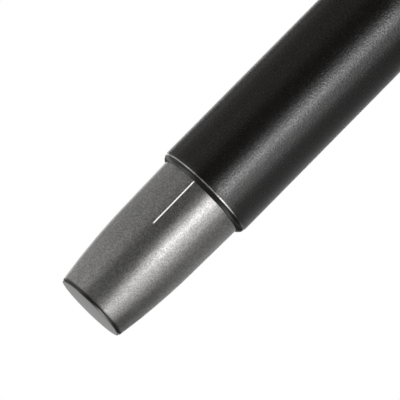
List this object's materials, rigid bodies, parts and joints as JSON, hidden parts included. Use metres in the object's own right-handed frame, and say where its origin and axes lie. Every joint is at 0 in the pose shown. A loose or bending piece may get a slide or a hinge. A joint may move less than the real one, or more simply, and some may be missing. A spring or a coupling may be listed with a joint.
{
  "type": "lens cleaning pen",
  "caption": "Lens cleaning pen: black metal barrel with a sliding retractable brush, and a tapered grey cap that pulls off and turns over a tilting chamois tip.",
  "frame": {"origin": "centre of the nose's foot ring, in the plane that the pen stands on", "axes": "+Z along the pen from the brush end to the cap; -Y towards the thumb slider and the index line; +X to the right when the slider faces the viewer"},
  "size_m": [0.015, 0.0164, 0.1318],
  "materials": {
    "barrel_black": "satin black anodised aluminium with a fine blasted grain",
    "nose_plastic": "moulded black, satin",
    "ring_black_gloss": "glossy black",
    "neck_plastic": "moulded black",
    "inner_plastic": "moulded dark grey",
    "cup_rubber": "soft matt black rubber",
    "chamois": "napped chamois charged with carbon",
    "cap_anthracite": "anthracite metallic, satin with fine flake",
    "button_grey": "anthracite metallic, smooth satin",
    "index_enamel": "pale enamel",
    "carbon_foam": "fine black foam charged with carbon",
    "brush_hair": "soft dark goat hair",
    "ferrule_metal": "bright nickel plate",
    "spring_steel": "spring steel",
    "slider_plastic": "moulded black, fine grain"
  },
  "bodies": {
    "barrel": {"brush_nose": "nose_plastic", "barrel_tube": "barrel_black", "guide_sleeve": "inner_plastic", "neck": "neck_plastic", "mouth_ring": "ring_black_gloss", "tip_socket": "inner_plastic"},
    "brush": {"brush_tuft": "brush_hair", "hair_root_plug": "inner_plastic", "brush_ferrule": "ferrule_metal", "brush_carrier": "inner_plastic", "detent_spring": "spring_steel", "thumb_slider": "slider_plastic"},
    "tip": {"tip_stem": "neck_plastic", "tip_cup": "cup_rubber", "tip_chamois": "chamois"},
    "friction_ring": {"cap_friction_ring": "inner_plastic"},
    "cap": {"cap_shell": "cap_anthracite", "index_inlay": "index_enamel", "cap_liner": "inner_plastic", "carbon_pad_holder": "inner_plastic", "carbon_pad": "carbon_foam", "cap_end_button": "button_grey"}
  },
  "joints": [
    {"name": "brush_slide", "type": "slide", "parent": "barrel", "child": "brush", "axis": [0, 0, -1], "range_m": [0, 0.024]},
    {"name": "tip_tilt", "type": "hinge", "parent": "barrel", "child": "tip", "pos_m": [0, 0, 0.1144], "axis": [1, 0, 0], "range_deg": [-6, 6]},
    {"name": "cap_twist", "type": "hinge", "parent": "barrel", "child": "friction_ring", "pos_m": [0, 0, 0.1126], "axis": [0, 0, 1], "continuous": true},
    {"name": "cap_pull", "type": "slide", "parent": "friction_ring", "child": "cap", "axis": [0, 0, 1], "range_m": [0, 0.03]}
  ]
}
